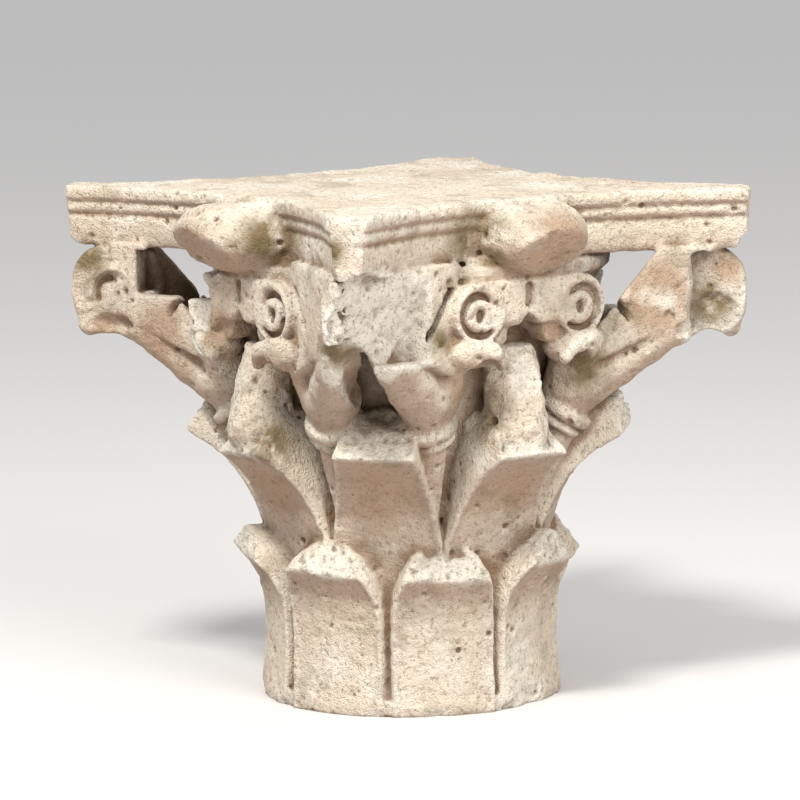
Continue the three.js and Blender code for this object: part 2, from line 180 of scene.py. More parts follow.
def mark_broken(cut, bared):
    broken[cut] = np.maximum(broken[cut], bared.astype(np.float16))


def remove(cut, form, fillet=2.0, fresh=False):
    """Take a form off the stone. Where it is a fresh break, the bared cells are marked."""
    if fresh:
        close = 1.5 * CELL
        mark_broken(cut, (form < close) & (stone[cut] < close))
    stone[cut] = soft_max(stone[cut], -np.clip(form, -FAR, FAR), fillet)


def chain(u, v, z, beads):
    """Distance to a tapering rod through beads: out, sideways, up, radius."""
    nearest = np.float32(1e3)
    for (au, av, az, ar), (bu, bv, bz, br) in zip(beads[:-1], beads[1:]):
        du, dv, dz = bu - au, bv - av, bz - az
        share = ((u - au) * du + (v - av) * dv + (z - az) * dz) / (du * du + dv * dv + dz * dz)
        share = np.clip(share, 0, 1)
        away = (u - au - share * du) ** 2 + (v - av - share * dv) ** 2 + (z - az - share * dz) ** 2
        nearest = soft_min(nearest, np.sqrt(away) - (ar + share * (br - ar)), ROD_FILLET)
    return nearest


def handed(beads, hand):
    """The beads of a form beside the middle, or of its mirror image on the other side."""
    return [(out, hand * side, up, radius) for out, side, up, radius in beads]


def span(hand, inner, outer):
    """A range sideways, on one side of the middle or on the other."""
    return sorted((hand * inner, hand * outer))


def egg(u, v, z, centre, radii):
    """Distance to an egg with three radii, true enough near its surface."""
    q = np.sqrt(((u - centre[0]) / radii[0]) ** 2 + ((v - centre[1]) / radii[1]) ** 2
                + ((z - centre[2]) / radii[2]) ** 2)
    return (q - 1) * min(radii)


def wave(values, centre, width):
    """A smooth hump that is 1 at its centre."""
    return np.exp(-((values - centre) / width) ** 2)


# %% [markdown]
# The bell is the plain core. It is turned first: straight at the foot, then opening out
# like a vase to the lip under the abacus.

# %% Bell
EIGHTH = math.pi / 4
QUARTER = math.pi / 2
BELL_TOP = 404.0
# Heights and radii, from the foot up
BELL_PROFILE = [
    (0, 131), (13, 131), (18, 113), (60, 113), (120, 116), (215, 118), (280, 128),
    (325, 146), (355, 161), (376, 170), (383, 179), (394, 180), (397, 174), (BELL_TOP, 174),
]


def table(values, rows):
    """Read a two-column table at many heights, with the slope of the column."""
    heights, column = zip(*rows)
    read = np.interp(values, heights, column).astype(np.float32)
    return read, np.gradient(read, axis=2) / CELL


cut, u, v, z = window(0, (-182, 182), (-182, 182), (0, BELL_TOP))
radius, slope = table(z, BELL_PROFILE)
bell = (np.hypot(u, v) - radius) / np.sqrt(1 + slope * slope)
add(cut, soft_max(bell, np.maximum(-z, z - BELL_TOP), 2.0), 1.0)
print("bell lip", 2 * max(radius for _, radius in BELL_PROFILE), "mm across")

# %% [markdown]
# Each leaf is a panel that hugs the bell, with an arched top and a thin raised edge. Its tip
# once curled forward. Here every tip has snapped off, so the panel flares and then ends in
# a rough pale face. One rule makes both rows; each leaf only gets its own break.

# %% Leaves
# A profile is heights and distances out; an outline is heights and half widths
LOWER_PROFILE = [
    (-10, 132), (0, 132), (20, 131), (45, 129), (68, 129), (84, 130), (98, 133), (108, 137),
    (118, 143), (128, 151), (138, 160), (158, 172),
]
LOWER_OUTLINE = [
    (-10, 46.9), (88, 46.9), (108, 45), (125, 39.5), (140, 30), (149, 18), (154, 6), (158, -4),
]
UPPER_PROFILE = [
    (30, 116), (90, 119), (130, 124), (150, 129), (177, 138), (197, 149), (210, 160),
    (222, 174), (232, 190), (240, 204), (272, 214),
]
UPPER_OUTLINE = [
    (30, 49.5), (152, 49.5), (200, 41), (235, 36), (255, 32), (265, 24), (271, 8), (275, -4),
]
LEAF_BACK = 92
LEAF_FILLET = 1.6
RIM_RISE, RIM_INSET, RIM_WIDTH = 3.2, 2.4, 1.7
DISH_HALF = 42
TIP_ROUGHNESS = 6.5


def leaf(turn, profile, outline, hollow, reach, height, tilt, lean):
    """A panel on the bell; its tip ends in a rough plane through reach and height."""
    widest = 1.4 * outline[0][1]
    heights = (profile[0][0], outline[-1][0])
    cut, u, v, z = window(turn, (LEAF_BACK + 3, profile[-1][1]), (-widest, widest), heights)
    rho = np.hypot(u, v)
    across = np.arctan2(v, u) * rho
    radius, slope = table(z, profile)
    half, narrowing = table(z, outline)
    edge = (np.abs(across) - half) / np.sqrt(1 + narrowing * narrowing)
    plane = reach - (z - height) * math.tan(math.radians(tilt)) - v * lean
    plane = plane - TIP_ROUGHNESS * rough[cut]
    front = soft_min(radius, plane, 2.0)
    rim = RIM_RISE * wave(edge, -RIM_INSET, RIM_WIDTH)
    dish = hollow * np.clip(1 - (across / DISH_HALF) ** 2, 0, 1) * (plane > radius)
    form = (rho - front - rim + dish) / np.sqrt(1 + 0.8 * slope * slope)
    form = np.maximum(soft_max(form, edge, LEAF_FILLET), LEAF_BACK - rho)
    mark_broken(cut, (plane < radius + CELL) & (np.abs(form) < 2 * CELL) & (edge < -4))
    add(cut, form, LEAF_FILLET)


# How each tip broke: reach, height, tilt in degrees and lean sideways
LOWER_BREAKS = [
    (151, 126, 10, 0.05), (149, 128, 36, 0.0), (147, 126, 40, -0.1), (151, 127, 30, 0.1),
    (149, 126, 35, 0.0), (152, 128, 8, 0.05), (149, 128, 38, 0.10), (144, 122, 38, 0.06),
]
UPPER_BREAKS = [
    (188, 232, 50, 0.1), (194, 246, 12, 0.0), (188, 234, 45, -0.1), (192, 238, 42, 0.0),
    (186, 234, 48, 0.1), (196, 240, 38, 0.0), (184, 230, 40, -0.16), (193, 236, 60, 0.12),
]
LOWER_HOLLOW, UPPER_HOLLOW = 1.8, 3.2
for k in range(8):
    leaf(k * EIGHTH, UPPER_PROFILE, UPPER_OUTLINE, UPPER_HOLLOW, *UPPER_BREAKS[k])
for k in range(8):
    leaf((k + 0.5) * EIGHTH, LOWER_PROFILE, LOWER_OUTLINE, LOWER_HOLLOW, *LOWER_BREAKS[k])
print("leaves", 16)

# %% [markdown]
# Between the upper leaves stand eight stalks. Each is a cone on its point, bound by a thick
# and a thin ring. Above the ring it swells and splits: one leaf goes up to the corner
# scroll, the other curls over under the scroll in the middle of the face.

# %% Stalks and calyx leaves
STALK_SIDE = 40.0
STALK_FOOT = (113.0, 160.0)
STALK_RING = (145.0, 260.0)
STALK_POINT, STALK_SWELL = 3, 16
RING_LEAN = math.radians(36)
RING_ROUNDING = 3
# Each ring: its middle above the stalk's end, half its height and its radius
RINGS = [(0, 5.5, 26.5), (-12.5, 3.2, 24.0)]


def stalk(turn, hand):
    """A cone on its point, with two rings near its upper end."""
    cut, u, v, z = window(turn, (90, 190), span(hand, 5, 80), (140, 290))
    side = v - hand * STALK_SIDE
    out, up = STALK_RING[0] - STALK_FOOT[0], STALK_RING[1] - STALK_FOOT[1]
    length = math.hypot(out, up)
    along = ((u - STALK_FOOT[0]) * out + (z - STALK_FOOT[1]) * up) / length
    beside = ((u - STALK_FOOT[0]) * up - (z - STALK_FOOT[1]) * out) / length
    radius = STALK_POINT + STALK_SWELL * np.clip(along / length, 0, 1.1)
    cone = np.maximum(np.hypot(beside, side) - radius, np.maximum(-along, along - length)) * 0.95
    add(cut, cone, 1.5)
    lean_out, lean_up = math.sin(RING_LEAN), math.cos(RING_LEAN)
    height = (u - STALK_RING[0]) * lean_out + (z - STALK_RING[1]) * lean_up
    away = np.hypot((u - STALK_RING[0]) * lean_up - (z - STALK_RING[1]) * lean_out, side)
    for middle, half, reach in RINGS:
        over = np.maximum(np.abs(height - middle) - half + RING_ROUNDING, 0)
        beyond = np.maximum(away - reach + RING_ROUNDING, 0)
        add(cut, np.hypot(over, beyond) - RING_ROUNDING, 1.0)


CORNER_LEAF = [
    (STALK_RING[0], STALK_SIDE, 262, 20), (151, 40, 271, 20), (160, 39, 283, 24),
    (186, 32, 298, 21), (214, 24, 317, 19), (240, 17, 331, 17), (262, 14, 335, 14),
    (284, 13, 328, 11),
]


def corner_leaf(turn, hand):
    """The calyx leaf that rises from one stalk to the corner."""
    cut, u, v, z = window(turn, (110, 300), span(hand, 0, 80), (240, BELL_TOP))
    add(cut, chain(u, v, z, handed(CORNER_LEAF, hand)), 3.0)


# A stem from above, out and sideways, and half its thickness
BAND_FOOT, BAND_HEAD = (160.0, 67.0), (258.0, 16.0)
BAND_HALF = 9
BAND_TOP = 402
# How its two edges climb outward; the last number turns a height above the slope into a distance
EDGE_OUT, EDGE_CLIMB, EDGE_LEVEL = 197, 1.286, 0.614
UNDER_UP, UNDER_CLIMB = 298, 0.42


def corner_band(turn, hand, upper_edge):
    """The broad flat stem of a corner scroll, from the middle of the face out to the corner.
    Its upper edge climbs outward, so daylight shows between it, the bell and the abacus."""
    cut, u, v, z = window(turn, (145, 280), span(hand, 0, 90), (285, BELL_TOP))
    (foot_out, foot_side), (head_out, head_side) = BAND_FOOT, BAND_HEAD
    length = math.hypot(head_out - foot_out, head_side - foot_side)
    run_out, run_side = (head_out - foot_out) / length, (head_side - foot_side) / length
    along = (u - foot_out) * run_out + (hand * v - foot_side) * run_side
    away = (hand * v - foot_side) * run_out - (u - foot_out) * run_side
    top = (z - upper_edge - (u - EDGE_OUT) * EDGE_CLIMB) * EDGE_LEVEL
    low = UNDER_UP + (u - foot_out) * UNDER_CLIMB - z
    ends = np.maximum(np.maximum(low, z - BAND_TOP), along - length)
    form = soft_max(soft_max(np.abs(away) - BAND_HALF, top, 3.0), ends, 2.0)
    add(cut, np.maximum(form, -along), 3.0)


HOOD_STEM = [(130, 75, 262, 19), (138, 73, 282, 22), (150, 67, 308, 20)]
HOOD_LIP = [(168, 76, 325, 11), (182, 60, 328, 10), (186, 46, 323, 9), (183, 38, 313, 8)]


def face_leaf(turn, hand):
    """The calyx leaf that curls over under the middle of a face: a hood, hollow below."""
    cut, u, v, z = window(turn, (100, 215), span(hand, 0, 105), (240, 356))
    add(cut, chain(u, v, z, handed(HOOD_STEM, hand)), 3.0)
    add(cut, egg(u, v, z, (166, hand * 55, 321), (25, 26, 17)), 3.0)
    add(cut, chain(u, v, z, handed(HOOD_LIP, hand)), 2.0)
    remove(cut, egg(u, v, z, (182, hand * 50, 300), (25, 15, 20)), 2.0)
    remove(cut, egg(u, v, z, (166, hand * 48, 272), (18, 9, 34)), 2.0)


def spine(turn):
    """The rough stem behind the middle of a face."""
    cut, u, v, z = window(turn, (110, 200), (-50, 50), (215, 345))
    form = chain(u, v, z, [(146, 0, 314, 24), (153, 0, 292, 24), (158, 0, 250, 29)])
    add(cut, form + 3.0 * rough[cut], 4.0)


# The near corner's stems are still whole up to the abacus; the left one's far stem is lower
LEFT_CORNER, NEAR_CORNER = 2, 3
USUAL_EDGE = 361
BAND_EDGES = {(NEAR_CORNER, -1): 440, (NEAR_CORNER, 1): 440, (LEFT_CORNER, -1): 350}
for k in range(4):
    spine(k * QUARTER)
    for hand in (-1, 1):
        stalk((k + 0.5) * QUARTER, hand)
        corner_leaf((k + 0.5) * QUARTER, hand)
        corner_band((k + 0.5) * QUARTER, hand, BAND_EDGES.get((k, hand), USUAL_EDGE))
        face_leaf(k * QUARTER, hand)
print("stalks", 8, "calyx leaves", 16)

# %% [markdown]
# Every corner carries a pair of scrolls under the horn of the abacus. From the side the
# scroll is a worn slab with a raised turn and a round eye. Behind it daylight shows
# between the stem, the bell and the abacus.


# %% Corner scrolls
SCROLL_OUT, SCROLL_UP, SCROLL_RADIUS = 262.0, 359.0, 39.0
SCROLL_HALF, SCROLL_SPREAD = 15, 0.2
SQUARENESS = 2.6
RIDGE_OUT, RIDGE_UP, RIDGE_RADIUS = 260.0, 358.0, 20.0
RIDGE_RISE, RIDGE_WIDTH, DISH_DEPTH = 8.0, 4.4, 5.0
EYE_OUT, EYE_UP, EYE_RADIUS, EYE_RISE = 264.0, 357.0, 10.0, 12.0
LEDGE = [(236, 25, 350, 5), (262, 23, 347, 5), (290, 15, 342, 5)]


def scroll(turn):
    """Both scrolls of a corner: a slab with a raised turn and an eye on each side."""
    cut, u, v, z = window(turn, (210, 306), (-38, 38), (305, BELL_TOP))
    half = SCROLL_HALF + SCROLL_SPREAD * np.clip(302 - u, 0, 80)
    across, up = np.abs(u - SCROLL_OUT), np.abs(z - SCROLL_UP)
    radius = (across ** SQUARENESS + up ** SQUARENESS) ** (1 / SQUARENESS)
    leg = np.where(z > RIDGE_UP, np.hypot(u - RIDGE_OUT, z - RIDGE_UP), np.abs(u - RIDGE_OUT))
    fade = np.clip((z - 346) / 8, 0, 1)
    ridge = RIDGE_RISE * fade * wave(leg, RIDGE_RADIUS, RIDGE_WIDTH)
    dish = DISH_DEPTH * fade * np.clip((RIDGE_RADIUS - leg) / 5, 0, 1)
    from_eye = ((u - EYE_OUT) ** 2 + (z - EYE_UP) ** 2) / EYE_RADIUS ** 2
    eye = EYE_RISE * np.sqrt(np.clip(1 - from_eye, 0, 1))
    face = (np.abs(v) - half - ridge - eye + dish) * 0.75
    add(cut, soft_max(face, radius - SCROLL_RADIUS, 3.0), 2.0)
    add(cut, chain(u, v, z, [(240, 0, 370, 17), (262, 0, 396, 18)]), 4.0)
    for hand in (-1, 1):
        add(cut, chain(u, v, z, handed(LEDGE, hand)), 2.0)
        remove(cut, egg(u, v, z, (268, hand * 33, 329), (27, 14, 11)), 2.0)


for k in range(4):
    scroll((k + 0.5) * QUARTER)
# One trunk of the near corner is thicker
cut, u, v, z = window((NEAR_CORNER + 0.5) * QUARTER, (150, 250), (-10, 60), (290, 380))
add(cut, chain(u, v, z, [(165, 22, 325, 24), (205, 26, 336, 22), (226, 20, 344, 17)]), 4.0)
# The hollow between the two trunks of a corner; at the near corner it runs up into the break
for k in range(4):
    hollow = [(170, -3, 288, 18), (215, -4, 300, 17)]
    if k == NEAR_CORNER:
        hollow += [(240, -4, 322, 12), (262, -5, 340, 8), (284, -6, 354, 6)]
    cut, u, v, z = window((k + 0.5) * QUARTER, (150, 290), (-30, 30), (262, 364))
    remove(cut, chain(u, v, z, hollow), 2.0)
print("corner scrolls", 8)

# %% [markdown]
# In the middle of each face two small scrolls turn towards each other. A flat bridge with a
# short upright groove joins them, and a dark three-cornered pocket opens below it.

# %% Face scrolls
HELIX_SIDE, HELIX_UP, HELIX_RADIUS = 54.0, 357.0, 27.0
PANEL_OUT, PANEL_UP, PANEL_HALF = 182.0, 364, 20
# The groove winds inward: where it starts, how fast it closes, half its width and
# its depth
GROOVE_START, GROOVE_PITCH, GROOVE_HALF, GROOVE_DEPTH = 20.5, 1.25, 2.2, 8
POCKET_DEPTH = 7


def from_helix(hand, v, z):
    """Across, up and straight away from the middle of a small scroll."""
    across, up = hand * v - HELIX_SIDE, z - HELIX_UP
    return across, up, np.hypot(across, up)


def face_scrolls(turn):
    """The flat panel in the middle of a face, its two scrolls and their grooves."""
    cut, u, v, z = window(turn, (120, 196), (-100, 100), (295, 396))
    form = np.maximum(np.abs(v) - HELIX_SIDE, np.abs(z - PANEL_UP) - PANEL_HALF)
    form = soft_max(form, u - PANEL_OUT + 1.5, 2.0)
    for hand in (-1, 1):
        across, up, ring = from_helix(hand, v, z)
        crown = 1.6 * wave(ring, 24, 4)
        disc = soft_max(ring - HELIX_RADIUS, u - PANEL_OUT - crown, 3.0)
        form = soft_min(form, disc, 3.0)
        sheet = np.maximum(np.abs(hand * v - 70) - 13, np.abs(z - 344) - 28)
        form = soft_min(form, soft_max(sheet, u + 0.35 * (hand * v - 74) - 171, 4.0), 4.0)
        blend = np.maximum(np.abs(hand * v - 44) - 26, np.abs(z - 338) - 12)
        form = soft_min(form, soft_max(blend, u - 174, 4.0), 4.0)
    add(cut, np.maximum(form, 105 - u), 2.0)
    for hand in (-1, 1):
        across, up, ring = from_helix(hand, v, z)
        phase = np.mod(np.arctan2(up, across) + math.pi * 0.75, 2 * math.pi)
        width = GROOVE_HALF + 1.7 * wave(phase, 2.6, 1.5)
        groove = np.abs(ring - GROOVE_START + GROOVE_PITCH * phase) - width
        groove = np.maximum(groove, PANEL_OUT - GROOVE_DEPTH - u)
        groove = groove + 1.5 * rough[cut] + 2.5 * np.clip(phase - 4.2, 0, 1)
        remove(cut, groove, 1.5)
        comma = np.hypot(across + 1, (up + 2) * 0.75) - 4.4
        remove(cut, np.maximum(comma, PANEL_OUT - POCKET_DEPTH - u), 1.5)
        seam = np.abs((hand * v - 84) * 0.79 + (z - 372) * 0.61) - 3.0
        seam = np.maximum(np.maximum(seam, np.abs(z - 356) - 24), 160 - u)
        remove(cut, seam, 2.0)
    slot = np.maximum(np.abs(v) - 4.2, np.abs(z - 370.5) - 9)
    remove(cut, np.maximum(slot, PANEL_OUT - POCKET_DEPTH - u), 1.5)
    pocket = np.maximum(np.abs(v) - 23 * np.clip((353 - z) / 26, 0, 1) ** 0.8, 325 - z)
    remove(cut, np.maximum(pocket, 140 - u), 2.0)


for k in range(4):
    face_scrolls(k * QUARTER)
print("face scrolls", 8)

# %% [markdown]
# The abacus is a slab with four hollow sides and four cut corners. From the top down it has
# a flat band, a groove, a fillet, a second groove and a tall band that leans in. On each side
# sits a boss, once a flower and now a smooth worn lump.

# %% Abacus and bosses
ABACUS_UNDER = 398.0
CORNER_OUT = 304.0
CORNER_HALF = 18.0
SIDE_OUT = 167.0
# Heights, and how far the side stands back there
SETBACKS = [
    (398, 9.5), (401, 8), (412, 6), (425, 5.5), (426, 6.8), (428, 6.8), (429.5, 3),
    (436.5, 3), (437.5, 4.8), (438.5, 4.8), (440, 0.3), (450, 0.3), (452, 1.4),
]
chord = (CORNER_OUT + CORNER_HALF) / math.sqrt(2)
half_chord = (CORNER_OUT - CORNER_HALF) / math.sqrt(2)
rise = chord - SIDE_OUT
hollow_radius = (half_chord ** 2 + rise ** 2) / (2 * rise)
centre = SIDE_OUT + hollow_radius
cut, u, v, z = window(0, (-REACH, REACH), (-REACH, REACH), (ABACUS_UNDER - 8, TOP))
px, py = np.abs(u), np.abs(v)
sides = np.maximum(hollow_radius - np.hypot(px - centre, py), hollow_radius - np.hypot(px, py - centre))
setback, _ = table(z, SETBACKS)
ends = (px + py) / math.sqrt(2) - CORNER_OUT + 0.25 * setback
slab = soft_max(sides + setback, ends, 1.5)
worn_top = 0.4 + 1.4 * lumps[cut] + 0.8 * chips[cut]
slab = soft_max(slab, z - TOP + np.clip(worn_top, 0, 3), 1.5)
slab = soft_max(slab, ABACUS_UNDER - z, 1.5)
add(cut, slab, 1.5)

# Where a boss has its middle, out and up, and half its height
BOSS_OUT, BOSS_UP, BOSS_HALF_HEIGHT = 170, 420, 33


def boss(turn, reach, half_width, middle, twist):
    """A worn lump on a side of the abacus, with a facet below."""
    cut, u, v, z = window(turn, (110, 230), (-75, 75), (372, TOP))
    low = z - BOSS_UP
    lean = v - middle - twist * (u - 175)
    radii = (reach - BOSS_OUT, half_width, BOSS_HALF_HEIGHT)
    form = egg(u + 0.12 * low, lean, low, (BOSS_OUT, 0, 0), radii)
    facet = (u - reach + 11) * 0.78 - (low + 4) * 0.62 + 1.5 * rough[cut]
    form = soft_max(form, facet, 2.0)
    form = soft_max(form, z - TOP + 5 + 2 * lumps[cut], 4.0)
    add(cut, form + 0.8 * lumps[cut], 3.0)


boss(0 * QUARTER, 222, 50, 7, 0.0)
boss(1 * QUARTER, 218, 42, 4, 0.1)
boss(2 * QUARTER, 216, 43, 0, -0.1)
boss(3 * QUARTER, 226, 55, 0, -0.35)
print("abacus hollow radius", round(hollow_radius), "mm")

# %% [markdown]
# Then the damage, which is half of the stone's character. Broken faces are rough planes and
# lumps taken off the finished carving; they are marked, because fresh stone is paler.


# %% Breaks
def outside_box(u, v, z, out, side, up):
    """Below zero inside a box given by its three ranges."""
    form = np.float32(-1e3)
    for values, (low, high) in ((u, out), (v, side), (z, up)):
        form = np.maximum(form, np.abs(values - (low + high) / 2) - (high - low) / 2)
    return form


def break_plane(turn, out, side, up, point, facing, depth=4.5):
    """Inside a box, take off what lies beyond a rough plane."""
    cut, u, v, z = window(turn, out, side, up)
    plane = (u - point[0]) * facing[0] + (v - point[1]) * facing[1] + (z - point[2]) * facing[2]
    inside = outside_box(u, v, z, out, side, up)
    remove(cut, np.maximum(-plane + depth * rough[cut], inside), 1.2, fresh=True)


def break_box(turn, out, side, up, depth=4.0, fresh=True):
    """Take off a rough box."""
    cut, u, v, z = window(turn, out, side, up)
    remove(cut, outside_box(u, v, z, out, side, up) + depth * rough[cut], 2.0, fresh=fresh)


def break_lump(turn, centre, radii, depth=4.0, fresh=True):
    """Take off a rough lump."""
    reach = max(radii) + 6
    cut, u, v, z = window(turn, *((middle - reach, middle + reach) for middle in centre))
    remove(cut, egg(u, v, z, centre, radii) + depth * rough[cut], 1.2, fresh=fresh)


NEAR = -0.5 * QUARTER
LEFT = -1.5 * QUARTER
RIGHT = 0.5 * QUARTER
BACK = 1.5 * QUARTER
break_plane(NEAR, (205, 310), (-26, 70), (322, 397), (234, 17, 352), (0.6, 0.75, -0.25), 8.0)
CRACKS = [
    [(275, -11, 400, 5), (268, -14, 382, 4), (266, -12, 362, 3)],
    [(264, 10, 394, 5), (240, 29, 397, 4), (214, 50, 401, 3)],
]
cut, u, v, z = window(NEAR, (205, 290), (-30, 60), (350, BELL_TOP))
for crack in CRACKS:
    remove(cut, chain(u, v, z, crack) + 2 * rough[cut], 1.5)
break_plane(NEAR, (222, 310), (-50, 30), (290, 342), (244, -14, 330), (0.86, -0.1, -0.5), 5.0)
break_plane(NEAR, (262, 310), (-40, 10), (322, 397), (286, -14, 360), (0.95, -0.3, 0.0), 5.0)
break_lump(NEAR, (238, -15, 368), (9, 4, 22), 2.0, fresh=False)
break_lump(NEAR, (290, 12, 397), (22, 16, 7), 4.0)
break_box(LEFT, (150, 236), (-10, 62), (357, 396), 2.0, fresh=False)
break_box(RIGHT, (253, 310), (-60, -5), (300, 396), 5.0)
break_lump(RIGHT, (274, -10, 352), (18, 12, 9), 5.0, fresh=False)
break_lump(RIGHT, (286, -12, 372), (14, 8, 8), 5.0, fresh=False)
break_lump(RIGHT, (268, 0, 312), (17, 34, 14), 4.0)
break_lump(RIGHT, (308, 0, 402), (14, 26, 9), 3.0)
break_lump(LEFT, (308, 6, 399), (13, 26, 5), 3.0)
break_box(LEFT, (255, 310), (-60, -4), (330, 396), 5.0)
break_plane(BACK, (250, 312), (-50, 50), (296, 396), (276, 0, 345), (0.92, 0.1, -0.38), 5.0)
break_lump(-QUARTER, (186, -60, 352), (12, 22, 24), 5.0)
break_box(-QUARTER, (140, 205), (-100, -51), (358, 396), 3.0)
break_lump(-QUARTER, (190, -66, 318), (18, 22, 16), 5.0)
break_box(QUARTER, (140, 205), (-100, -52), (338, 396), 3.0)
break_lump(QUARTER, (188, 50, 356), (12, 22, 22), 5.0)
break_lump(0, (186, 0, 300), (16, 22, 20), 5.0)
break_lump(0.5 * EIGHTH, (137, -18, 10), (10, 30, 22), 4.0)
break_lump(0.02 * EIGHTH, (139, 4, 34), (8, 15, 38), 3.0)
break_lump(2.2 * EIGHTH, (136, 0, 4), (9, 26, 12), 4.0)
break_lump(4.4 * EIGHTH, (136, 0, 4), (8, 20, 16), 4.0)
# Small chips at random places of the foot, the abacus and the bell's lip
SMALL_CHIPS = 60
EDGES = [(132, 0, 2), (SIDE_OUT + 6, 0, TOP - 1), (SIDE_OUT + 2, 0, ABACUS_UNDER), (180, 0, 384)]
rng = np.random.default_rng(5)
for k in range(SMALL_CHIPS):
    turn = rng.uniform(0, 2 * math.pi)
    size = rng.uniform(2.0, 5.0)
    break_lump(turn, EDGES[int(rng.integers(0, 4))], (size, size * 1.7, size * 0.7), 2.0)
print("broken cells", int((broken > 0).sum()))

# %% [markdown]
# Weather rounds every edge a little, and the grain of the stone stands out. A light blur of
# the distances does the first, a small ripple the second. Pits are small balls taken out at
# random places of the surface.


# %% Weathering
PITS = 3200
PIT_SHAPE, PIT_SCALE = 1.6, 0.5
SMALLEST_PIT, LARGEST_PIT = 0.8, 4.2


def soften(values, passes):
    """Blur a grid lightly, in place."""
    for _ in range(passes):
        for axis in range(3):
            shifted = np.moveaxis(values, axis, 0)
            shifted[1:-1] = shifted[1:-1] * 0.5 + (shifted[2:] + shifted[:-2]) * 0.25
    return values


soften(stone, 1)
stone += 0.35 * chips + 0.5 * crumbs + 0.3 * grit + 0.4 * lumps + 0.2
# Below the bed everything is air
stone = np.maximum(stone, -ax_z[None, None, :])
surface = np.argwhere(np.abs(stone[2:-2, 2:-2, 2:-2]) < CELL * 0.5) + 2
for i in rng.choice(len(surface), PITS, replace=False):
    pit = LOW_CORNER + CELL * surface[i]
    size = min(float(rng.gamma(PIT_SHAPE, PIT_SCALE)) + SMALLEST_PIT, LARGEST_PIT)
    cut, u, v, z = window(0, *((middle - size, middle + size) for middle in pit))
    ball = egg(u, v, z, pit, (size, size * 1.2, size))
    stone[cut] = np.maximum(stone[cut], -ball)
stone[:, :, -3:] = FAR
print("pits", PITS)

# %% [markdown]
# The surface is now pulled out of the grid as a mesh and thinned, because flat panels need
# few faces and the fine carving needs many.

# %% Surface
volume_grid = openvdb.FloatGrid()
volume_grid.copyFromArray(stone)
points, quads = volume_grid.convertToQuads(0.0)
points = points.astype(np.float32)
print("surface points", len(points), "quads", len(quads))


def sample(values, where):
    """Read a grid at points given in cells."""
    where = np.clip(where, 0, np.array(values.shape) - 1.001)
    low = where.astype(int)
    share = (where - low).astype(np.float32)
    total = np.zeros(len(where), np.float32)
    for i in (0, 1):
        for j in (0, 1):
            for k in (0, 1):
                weight = np.abs(1 - i - share[:, 0]) * np.abs(1 - j - share[:, 1])
                weight = weight * np.abs(1 - k - share[:, 2])
                total += weight * values[low[:, 0] + i, low[:, 1] + j, low[:, 2] + k]
    return total


HALF_BLOCK = cad_box[1][0]


def kept_in_block(place):
    """Points in metres, held inside the block that the stone was cut from."""
    place[:, :2] = np.clip(place[:, :2], -HALF_BLOCK, HALF_BLOCK)
    place[:, 2] = np.clip(place[:, 2], 0.0, TOP * MM)
    return place


def point_values(mesh, what):
    """The places or the normals of all points of a mesh."""
    values = np.empty(len(mesh.vertices) * 3, np.float32)
    mesh.vertices.foreach_get(what, values)
    return values.reshape(-1, 3)


raw = bpy.data.meshes.new("raw_surface")
raw.vertices.add(len(points))
place = kept_in_block((points * CELL + LOW_CORNER) * MM)
raw.vertices.foreach_set("co", place.astype(np.float32).ravel())
raw.loops.add(len(quads) * 4)
raw.loops.foreach_set("vertex_index", quads.astype(np.int32).ravel())
raw.polygons.add(len(quads))
raw.polygons.foreach_set("loop_start", np.arange(len(quads), dtype=np.int32) * 4)
raw.update(calc_edges=True)

MOST_TRIANGLES = 194000
raw_piece = bpy.data.objects.new("raw_piece", raw)
bpy.context.collection.objects.link(raw_piece)
thin = raw_piece.modifiers.new("thin", "DECIMATE")
thin.ratio = min(1, MOST_TRIANGLES / (2 * len(quads)))
thin.use_collapse_triangulate = True
evaluated = raw_piece.evaluated_get(bpy.context.evaluated_depsgraph_get())
mesh = bpy.data.meshes.new_from_object(evaluated)
mesh.name = "carved_capital"
bpy.data.objects.remove(raw_piece)
bpy.data.meshes.remove(raw)
capital = bpy.data.objects.new("carved_capital", mesh)
bpy.context.collection.objects.link(capital)
# Thinning can push a point a hair past the block
mesh.vertices.foreach_set("co", kept_in_block(point_values(mesh, "co")).ravel())
mesh.update()
mesh.polygons.foreach_set("use_smooth", np.ones(len(mesh.polygons), bool))
print("triangles", len(mesh.polygons))

# %% [markdown]
# Seven masks ride on the mesh for the finish: how deep a place lies in the carving, how fresh
# its break is, whether it faces down, where lichen and stains have settled, and how hollow or
# how worn the spot itself is. Depth, facing down and hollowness carry painted shade, and some
# lichen and stain spots also mark shaded places for painted shade.

# %% Masks
STEP = 3
solid = soften(np.clip(0.5 - stone[::STEP, ::STEP, ::STEP] / (2 * CELL * STEP), 0, 1), 5)
fresh = soften(broken[::STEP, ::STEP, ::STEP].astype(np.float32), 1)
co = point_values(mesh, "co") / MM
facing = point_values(mesh, "normal")
cells = (co - LOW_CORNER) / CELL
depth = np.clip((sample(solid, cells / STEP) - 0.5) * 3.2 + 0.5, 0, 1)
near_fill = sample(soften(np.clip(0.5 - stone / (4 * CELL), 0, 1), 3), cells) - 0.5
# Small hollows; the finish paints dark shade into them
crease_shade = np.clip(near_fill * 7 - 0.15, 0, 1)
worn_edge = np.clip(-near_fill * 6 - 0.15, 0, 1)
freshness = np.clip(sample(fresh, cells / STEP) * 2.0, 0, 1)
# Faces that turn down; the finish paints shade on them
underside_shade = np.clip(0.12 - 1.3 * facing[:, 2], 0, 1)
